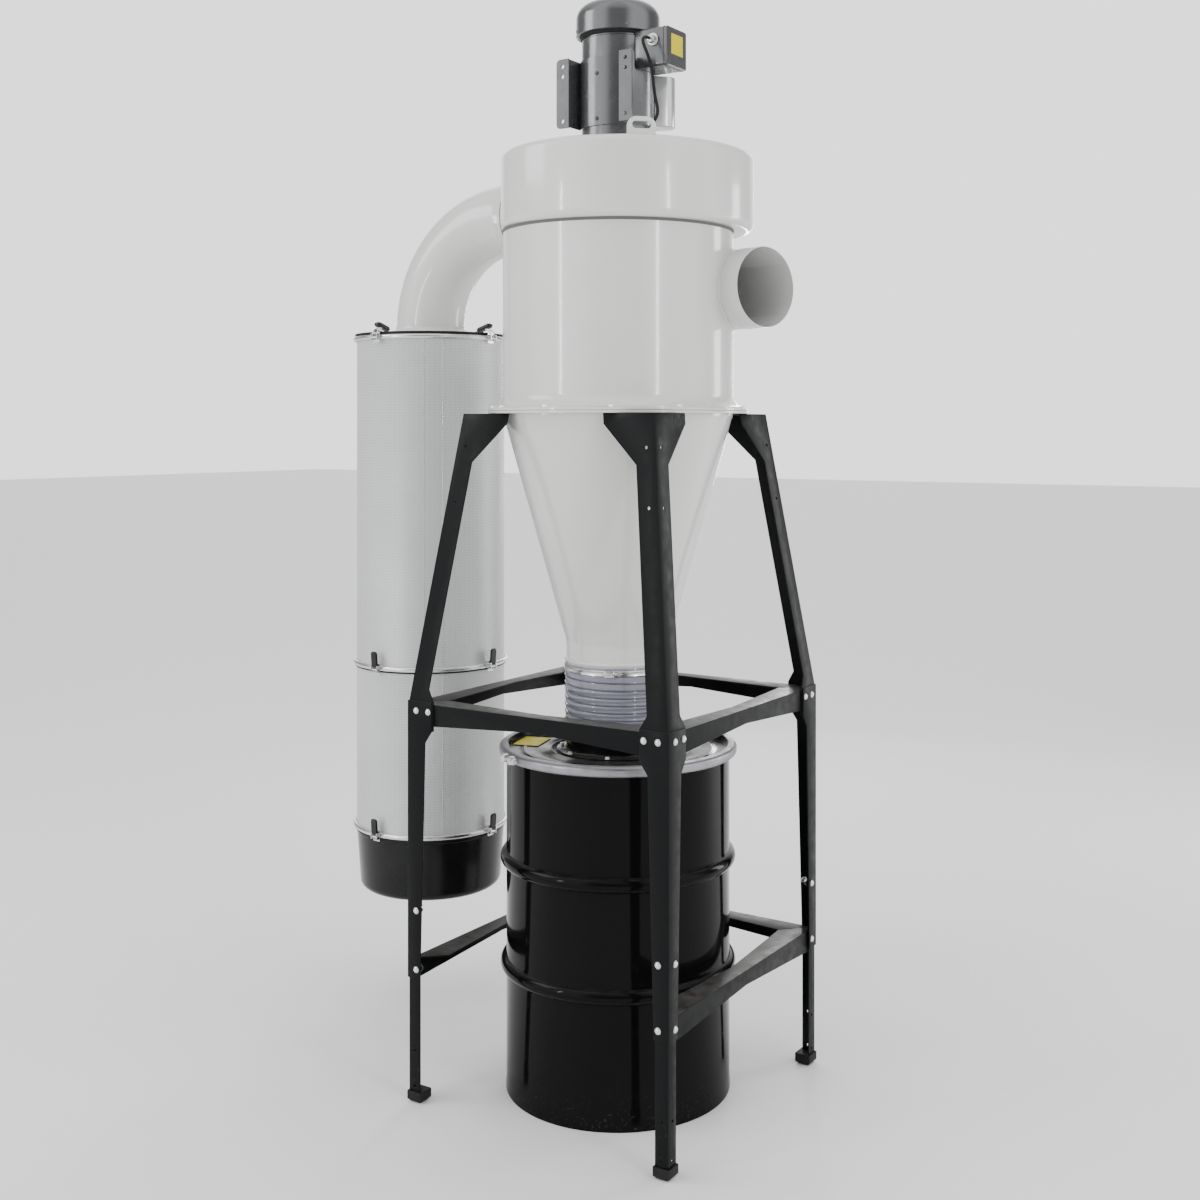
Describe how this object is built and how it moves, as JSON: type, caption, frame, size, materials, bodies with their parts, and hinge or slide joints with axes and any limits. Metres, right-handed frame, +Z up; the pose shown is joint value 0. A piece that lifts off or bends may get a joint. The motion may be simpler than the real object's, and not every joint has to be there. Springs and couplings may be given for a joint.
{
  "type": "cyclone dust separator on a stand",
  "caption": "Tall cyclone separator: blower with vertical motor on a barrel and cone, bolted stand, collection drum on a hose, and a hanging cartridge filter.",
  "frame": {"origin": "on the floor, under the vertical axis of the cyclone and drum", "axes": "+Z up; -Y is the open side of the stand where the drum slides in; the filter stack hangs towards -X"},
  "size_m": [1.4896, 0.8681, 2.78],
  "materials": {
    "white_paint": "gloss white baked paint",
    "stand_black": "satin black powder coat",
    "drum_black": "gloss black enamel",
    "lid_black": "gloss black enamel",
    "ring_steel": "zinc-plated steel",
    "clamp_steel": "zinc-plated steel",
    "clear_hose": "translucent ribbed plastic",
    "filter_media": "pleated media behind perforated sheet",
    "gasket_rubber": "black rubber",
    "foot_rubber": "black rubber",
    "pan_black": "black moulded plastic",
    "motor_grey": "metallic grey paint",
    "gland_steel": "nickel-plated",
    "cord_rubber": "black cord jacket"
  },
  "bodies": {
    "root": {"barrel": "white_paint", "barrel_flange": "white_paint", "capacitor_cover": "motor_grey", "conduit_box": "motor_grey", "cone": "white_paint", "cone_flange": "white_paint", "cord_glands": "gland_steel", "drum_bottom": "drum_black", "drum_closure_ring": "ring_steel", "drum_lid": "lid_black", "drum_shell": "drum_black", "dust_pan": "pan_black", "elbow": "white_paint", "filter_cartridge_lower": "filter_media", "filter_cartridge_upper": "filter_media", "filter_gasket": "gasket_rubber", "filter_latches": "clamp_steel", "filter_lid": "white_paint", "filter_lower_ring": "clamp_steel", "filter_middle_ring": "clamp_steel", "filter_top_ring": "clamp_steel", "flex_hose": "clear_hose", "foot_caps": "foot_rubber", "hose_clamps": "clamp_steel", "housing_bottom_plate": "white_paint", "housing_top_plate": "white_paint", "housing_wrap": "white_paint", "inlet_duct": "white_paint", "leg_extensions": "stand_black", "lid_collar": "lid_black", "lifting_lugs": "white_paint", "lower_leg_back_left": "stand_black", "lower_leg_back_right": "stand_black", "lower_leg_front_left": "stand_black", "lower_leg_front_right": "stand_black", "lower_rail_back": "stand_black", "lower_rail_left": "stand_black", "lower_rail_right": "stand_black", "mid_rail_back": "stand_black", "mid_rail_front": "stand_black", "mid_rail_left": "stand_black", "mid_rail_right": "stand_black", "motor_base": "motor_grey", "motor_body": "motor_grey", "motor_cord": "cord_rubber", "motor_end_bell": "motor_grey", "motor_fan_cover": "motor_grey", "outlet_collar": "white_paint", "outlet_transition": "white_paint", "upper_leg_back_left": "stand_black", "upper_leg_back_right": "stand_black", "upper_leg_front_left": "stand_black", "upper_leg_front_right": "stand_black", "vortex_tube": "white_paint"}
  },
  "joints": []
}
